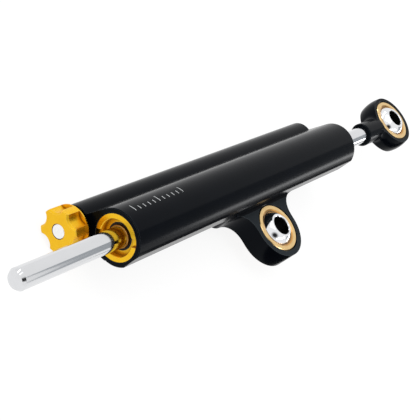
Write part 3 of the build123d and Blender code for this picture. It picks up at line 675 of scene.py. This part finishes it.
def light_surround(scene):
    """White all round for the camera and for mirrors, and a little less as light on the damper."""
    world = bpy.data.worlds.new("studio")
    scene.world = world
    world.use_nodes = True
    tree = world.node_tree
    tree.nodes.clear()
    seen = shows_background(tree)
    strength = add_node(tree, "MapRange", {"Value": seen, "To Min": 0.85, "To Max": 1})
    white = add_node(tree, "Background", {"Color": (1, 1, 1, 1), "Strength": strength})
    add_node(tree, "OutputWorld", {"Surface": white}, None)


def stand_cards():
    """Cards out of the picture, which only mirrors see. They draw the dark bands and spots on metal.

    The grey one stands far off, beyond the rod's eye. The dark one stands beside the camera and fades
    to white at its rim. The black strip lies just above the floor, along the damper.
    """
    whole_card, from_rim, fade_width = -1, 0.5, 0.3
    cards = {
        # name: (place, aim, size, level, nearness to its centre where the tone begins)
        "grey_card": ((2.3, -0.92, 0.79), (2.3, 0.03, 0.012), (2.6, 1.3), 0.46, whole_card),
        "dark_card": ((-0.49, -0.43, 0.62), (0, 0, 0), (0.8, 0.6), 0.03, from_rim),
        "black_strip": ((0.1, -0.055, -0.0142), (0.1, -0.055, 1), (0.28, 0.062), 0.03, whole_card),
    }
    for name, (place, aim, size, level, begin) in cards.items():
        bpy.ops.object.select_all(action="DESELECT")
        turn = (Vector(aim) - Vector(place)).to_track_quat("Z", "Y").to_euler()
        bpy.ops.mesh.primitive_plane_add(size=1, location=place, rotation=turn)
        card = bpy.context.active_object
        card.name = name
        card.scale = (*size, 1)
        material, tree, spot = start_material(f"{name}_paper")
        near = add_node(tree, "TexGradient", {"Vector": spot}, "Fac", gradient_type="SPHERICAL")
        full = begin + fade_width
        fade = add_node(tree, "MapRange", {"Value": near, "From Min": begin, "From Max": full})
        white, dark = (1, 1, 1, 1), shade((0.9, 0.95, 1.0), level)
        tone = add_node(tree, "Mix", {0: fade, 6: white, 7: dark}, 2, data_type="RGBA")
        glow = add_node(tree, "Emission", {"Color": tone})
        add_node(tree, "OutputMaterial", {"Surface": glow}, None)
        card.data.materials.append(material)
        card.visible_camera = card.visible_diffuse = card.visible_shadow = False


def hang_lamps():
    """One large soft lamp above, a long strip low beyond the rod's eye, and a strip along each side."""
    lamps = {
        # name: (place, aim, size, watts)
        "overhead_softbox": ((-0.1, 0.25, 0.8), (0, 0.03, 0), (0.7, 0.7), 1.6),
        "low_strip": ((0.95, -0.45, 0.02), (0.95, 0.03, 0.012), (0.9, 0.16), 1.9),
        "left_strip": ((-0.05, -0.75, 0.5), (-0.02, 0.03, 0), (0.9, 0.08), 1.4),
        "right_strip": ((-0.05, 0.8, 0.5), (-0.02, 0.03, 0), (0.9, 0.08), 1.4),
    }
    for name, (place, aim, size, watts) in lamps.items():
        bpy.ops.object.light_add(type="AREA", location=place)
        lamp = bpy.context.active_object
        lamp.name = name
        lamp.rotation_euler = (Vector(aim) - Vector(place)).to_track_quat("-Z", "Y").to_euler()
        lamp.data.shape = "RECTANGLE"
        lamp.data.size, lamp.data.size_y = size
        lamp.data.energy = watts


def set_camera(scene, studio):
    """Camera at the photograph's viewing angle, rolled as the damper lies in its own frame."""
    back = Vector(studio.camera_back).normalized()
    right = Vector(studio.camera_up).cross(back).normalized()
    turn = Matrix((right, back.cross(right), back)).transposed()
    bpy.ops.object.camera_add(location=studio.camera_place, rotation=turn.to_euler())
    camera = bpy.context.active_object
    camera.name = "camera"
    camera.data.lens = studio.camera_lens
    camera.data.sensor_width = SENSOR_WIDTH
    camera.data.clip_end = CAMERA_REACH
    scene.camera = camera


class DAMPER_PT_finishes(bpy.types.Panel):
    """Buttons and settings in the 3D view's sidebar"""
    bl_idname = "DAMPER_PT_finishes"
    bl_label = "Steering Damper"
    bl_space_type = "VIEW_3D"
    bl_region_type = "UI"
    bl_category = "Damper"

    def draw(self, context):
        for operator in OPERATORS:
            self.layout.operator(operator.bl_idname)
        for group in SETTINGS:
            settings = getattr(context.scene, group)
            box = self.layout.box()
            for name in settings.__annotations__:
                box.prop(settings, name)


OPERATORS = (
    DAMPER_OT_dress_body,
    DAMPER_OT_dress_gold,
    DAMPER_OT_dress_bronze,
    DAMPER_OT_dress_rod,
    DAMPER_OT_dress_bearings,
    DAMPER_OT_dress_steel,
    DAMPER_OT_dress_rubber,
    DAMPER_OT_mark_ticks,
    DAMPER_OT_set_studio,
)
SETTINGS = {"damper_colours": DamperColours, "damper_ticks": DamperTicks, "damper_studio": DamperStudio}


def register():
    for group in SETTINGS.values():
        bpy.utils.register_class(group)
    for name, group in SETTINGS.items():
        setattr(bpy.types.Scene, name, bpy.props.PointerProperty(type=group))
    for operator in OPERATORS:
        bpy.utils.register_class(operator)
    bpy.utils.register_class(DAMPER_PT_finishes)


def unregister():
    bpy.utils.unregister_class(DAMPER_PT_finishes)
    for operator in reversed(OPERATORS):
        bpy.utils.unregister_class(operator)
    for name, group in SETTINGS.items():
        delattr(bpy.types.Scene, name)
        bpy.utils.unregister_class(group)


def main():
    register()
    bpy.ops.damper.dress_body()
    bpy.ops.damper.dress_gold()
    bpy.ops.damper.dress_bronze()
    bpy.ops.damper.dress_rod()
    bpy.ops.damper.dress_bearings()
    bpy.ops.damper.dress_steel()
    bpy.ops.damper.dress_rubber()
    bpy.ops.damper.mark_ticks()
    bpy.ops.damper.set_studio()


if __name__ == "__main__":
    main()
